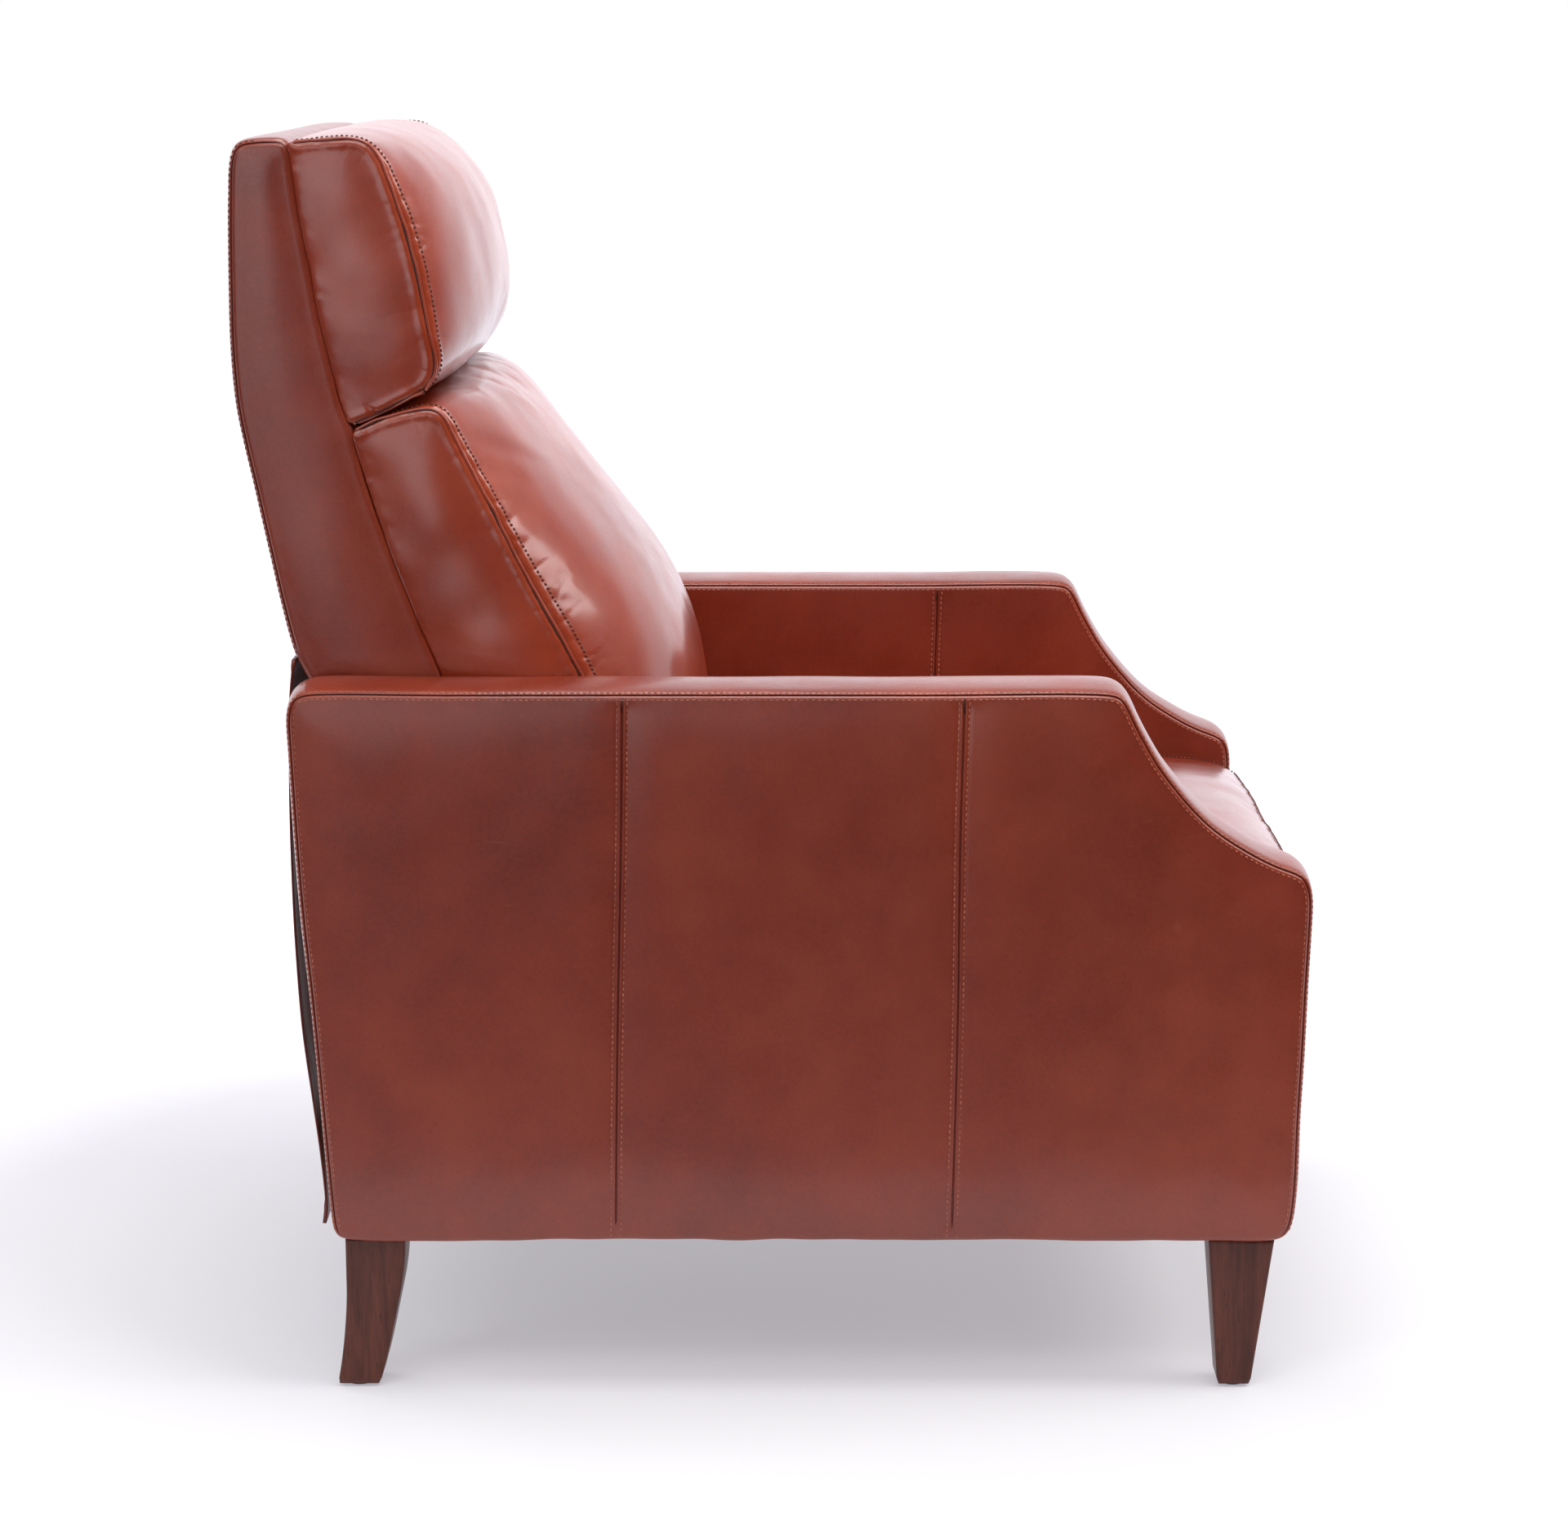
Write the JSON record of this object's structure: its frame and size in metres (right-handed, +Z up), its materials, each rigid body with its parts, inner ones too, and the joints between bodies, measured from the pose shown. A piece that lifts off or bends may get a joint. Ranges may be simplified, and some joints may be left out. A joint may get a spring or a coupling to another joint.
{
  "type": "recliner armchair",
  "caption": "Push-back recliner armchair in red-brown leather: slim sloped-front arms, head and lumbar cushions, fold-out footrest, tapered wooden legs.",
  "frame": {"origin": "on the floor, under the centre of the chair's bounding box", "axes": "+Z up, -Y the way the sitter faces, +X the sitter's left"},
  "size_m": [0.72, 0.938, 1.085],
  "materials": {
    "leather": "satin",
    "cushion": "satin",
    "frame_wood": "matte",
    "leg_wood": "satin",
    "glide": "matte",
    "zinc": "satin",
    "black_steel": "satin",
    "spring": "satin"
  },
  "bodies": {
    "base": {"arm_cover_left": "leather", "arm_cover_right": "leather", "arm_frame_left": "frame_wood", "arm_frame_right": "frame_wood", "leg_rear_left": "leg_wood", "leg_rear_right": "leg_wood", "leg_front_left": "leg_wood", "leg_front_right": "leg_wood", "leg_glides": "glide", "leg_bolts": "zinc", "front_base_rail": "frame_wood", "rear_base_rail": "frame_wood", "mechanism_rail_left": "black_steel", "mechanism_rail_right": "black_steel", "rail_screws": "zinc", "base_pivot_pins": "zinc", "rear_skirt": "leather"},
    "front_swing": {"front_swing_link_left": "black_steel", "front_swing_link_right": "black_steel", "front_swing_tube": "black_steel"},
    "rear_swing": {"rear_swing_link_left": "black_steel", "rear_swing_link_right": "black_steel", "rear_swing_tube": "black_steel"},
    "seat_carriage": {"seat_side_plate_left": "black_steel", "seat_side_plate_right": "black_steel", "front_cross_tube": "black_steel", "rear_cross_tube": "black_steel", "seat_rail_left": "frame_wood", "seat_rail_right": "frame_wood", "seat_rail_front": "frame_wood", "seat_rail_rear": "frame_wood", "seat_frame_tabs": "black_steel", "seat_springs": "spring", "seat_spring_clips": "spring", "seat_cushion": "cushion", "carriage_pivot_pins": "zinc"},
    "back": {"outer_back_cover": "leather", "back_stile_left": "frame_wood", "back_stile_right": "frame_wood", "back_top_rail": "frame_wood", "back_middle_rail": "frame_wood", "back_bottom_rail": "frame_wood", "back_springs": "spring", "back_bracket_left": "black_steel", "back_bracket_right": "black_steel", "back_pivot_pins": "zinc", "lumbar_cushion": "cushion", "head_cushion": "cushion"},
    "footrest_inner": {"footrest_inner_link_left": "black_steel", "footrest_inner_link_right": "black_steel", "footrest_torque_tube": "black_steel", "footrest_link_pins": "zinc"},
    "footrest_outer": {"footrest_outer_link_left": "black_steel", "footrest_outer_link_right": "black_steel"},
    "footrest": {"footrest_bracket_left": "black_steel", "footrest_bracket_right": "black_steel", "footrest_board": "frame_wood", "footrest_pad": "cushion", "footrest_tip_pins": "zinc"}
  },
  "joints": [
    {"name": "seat_glide", "type": "hinge", "parent": "base", "child": "front_swing", "pos_m": [0, -0.22, 0.168], "axis": [1, 0, 0], "range_deg": [0, 50]},
    {"name": "rear_link_swing", "type": "hinge", "parent": "base", "child": "rear_swing", "pos_m": [0, 0.13, 0.168], "axis": [1, 0, 0], "range_deg": [0, 50]},
    {"name": "seat_level", "type": "hinge", "parent": "front_swing", "child": "seat_carriage", "pos_m": [0, -0.15872, 0.29941], "axis": [-1, 0, 0], "range_deg": [0, 50]},
    {"name": "back_recline", "type": "hinge", "parent": "seat_carriage", "child": "back", "pos_m": [0, 0.195, 0.322], "axis": [-1, 0, 0], "range_deg": [0, 30], "deforming": ["rear_skirt"]},
    {"name": "footrest_extend", "type": "hinge", "parent": "seat_carriage", "child": "footrest_inner", "pos_m": [0, -0.31, 0.3], "axis": [-1, 0, 0], "range_deg": [0, 63]},
    {"name": "footrest_knee", "type": "hinge", "parent": "footrest_inner", "child": "footrest_outer", "pos_m": [0, -0.37339, 0.16405], "axis": [-1, 0, 0], "range_deg": [-126, 0]},
    {"name": "footrest_turn", "type": "hinge", "parent": "footrest_outer", "child": "footrest", "pos_m": [0, -0.38647, 0.31348], "axis": [-1, 0, 0], "range_deg": [0, 155]}
  ],
  "couplings": [
    {"joint": "rear_link_swing", "follows": "seat_glide", "ratio": 1},
    {"joint": "seat_level", "follows": "seat_glide", "ratio": 1},
    {"joint": "back_recline", "follows": "seat_glide", "ratio": 0.6},
    {"joint": "footrest_knee", "follows": "footrest_extend", "ratio": -2},
    {"joint": "footrest_turn", "follows": "footrest_extend", "ratio": 2.46}
  ]
}
